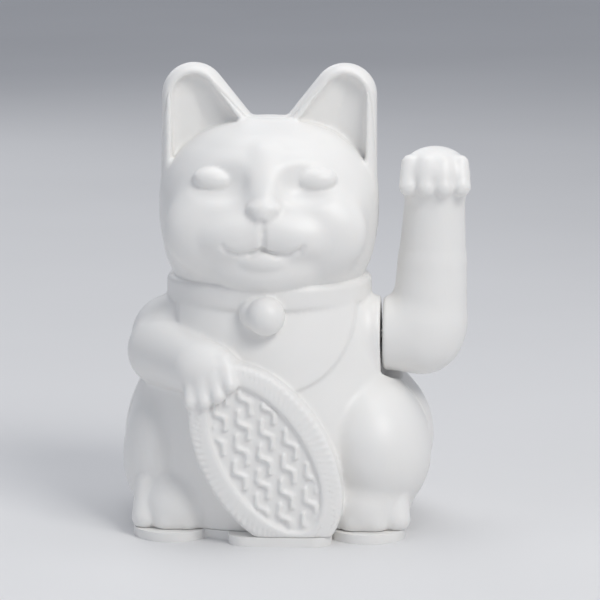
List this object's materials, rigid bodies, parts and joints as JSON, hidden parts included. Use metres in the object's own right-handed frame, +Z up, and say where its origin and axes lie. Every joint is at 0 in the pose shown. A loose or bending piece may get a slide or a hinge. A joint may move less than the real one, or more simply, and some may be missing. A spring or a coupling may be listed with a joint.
{
  "type": "beckoning cat figurine",
  "caption": "Seated beckoning cat figurine in white plastic, with an oval coin and a battery-driven arm that swings on a pendulum",
  "frame": {"origin": "middle of the base's underside, on the surface that the cat stands on", "axes": "+Z up, the cat faces -Y, the waving arm is on the +X side"},
  "size_m": [0.1152, 0.0888, 0.1486],
  "materials": {
    "front_shell": "satin",
    "rear_shell": "satin",
    "arm_front_shell": "satin",
    "arm_rear_shell": "satin",
    "arm_hub": "satin",
    "swing_axle": "satin",
    "bearing_bushes": "satin",
    "retaining_clips": "satin",
    "stop_pins": "satin",
    "mechanism_frame": "matte",
    "frame_screws": "satin",
    "pendulum_lever": "satin",
    "pendulum_magnet": "satin",
    "counterweight": "satin",
    "coil_bobbin": "satin",
    "coil_winding": "gloss",
    "circuit_board": "satin",
    "board_screws": "satin",
    "capacitor": "satin",
    "drive_transistor": "matte",
    "resistors": "satin",
    "battery_cell": "satin",
    "positive_contact": "satin",
    "battery_spring": "satin",
    "base_plate": "satin",
    "base_screws": "satin",
    "battery_door": "satin",
    "lead_red": "satin",
    "lead_black": "satin"
  },
  "bodies": {
    "body": {"front_shell": "front_shell", "rear_shell": "rear_shell", "bearing_bushes": "bearing_bushes", "stop_pins": "stop_pins", "mechanism_frame": "mechanism_frame", "frame_screws": "frame_screws", "coil_bobbin": "coil_bobbin", "coil_winding": "coil_winding", "circuit_board": "circuit_board", "board_screws": "board_screws", "capacitor": "capacitor", "drive_transistor": "drive_transistor", "resistors": "resistors", "battery_cell": "battery_cell", "positive_contact": "positive_contact", "battery_spring": "battery_spring", "base_plate": "base_plate", "base_screws": "base_screws", "lead_red": "lead_red", "lead_black": "lead_black"},
    "arm": {"arm_front_shell": "arm_front_shell", "arm_rear_shell": "arm_rear_shell", "arm_hub": "arm_hub", "swing_axle": "swing_axle", "retaining_clips": "retaining_clips", "pendulum_lever": "pendulum_lever", "pendulum_magnet": "pendulum_magnet", "counterweight": "counterweight"},
    "door": {"battery_door": "battery_door"}
  },
  "joints": [
    {"name": "arm_swing", "type": "hinge", "parent": "body", "child": "arm", "pos_m": [0, -0.004, 0.062], "axis": [1, 0, 0], "range_deg": [-20, 20]},
    {"name": "battery_door_slide", "type": "slide", "parent": "body", "child": "door", "axis": [0, 1, 0], "range_m": [0, 0.017]}
  ]
}
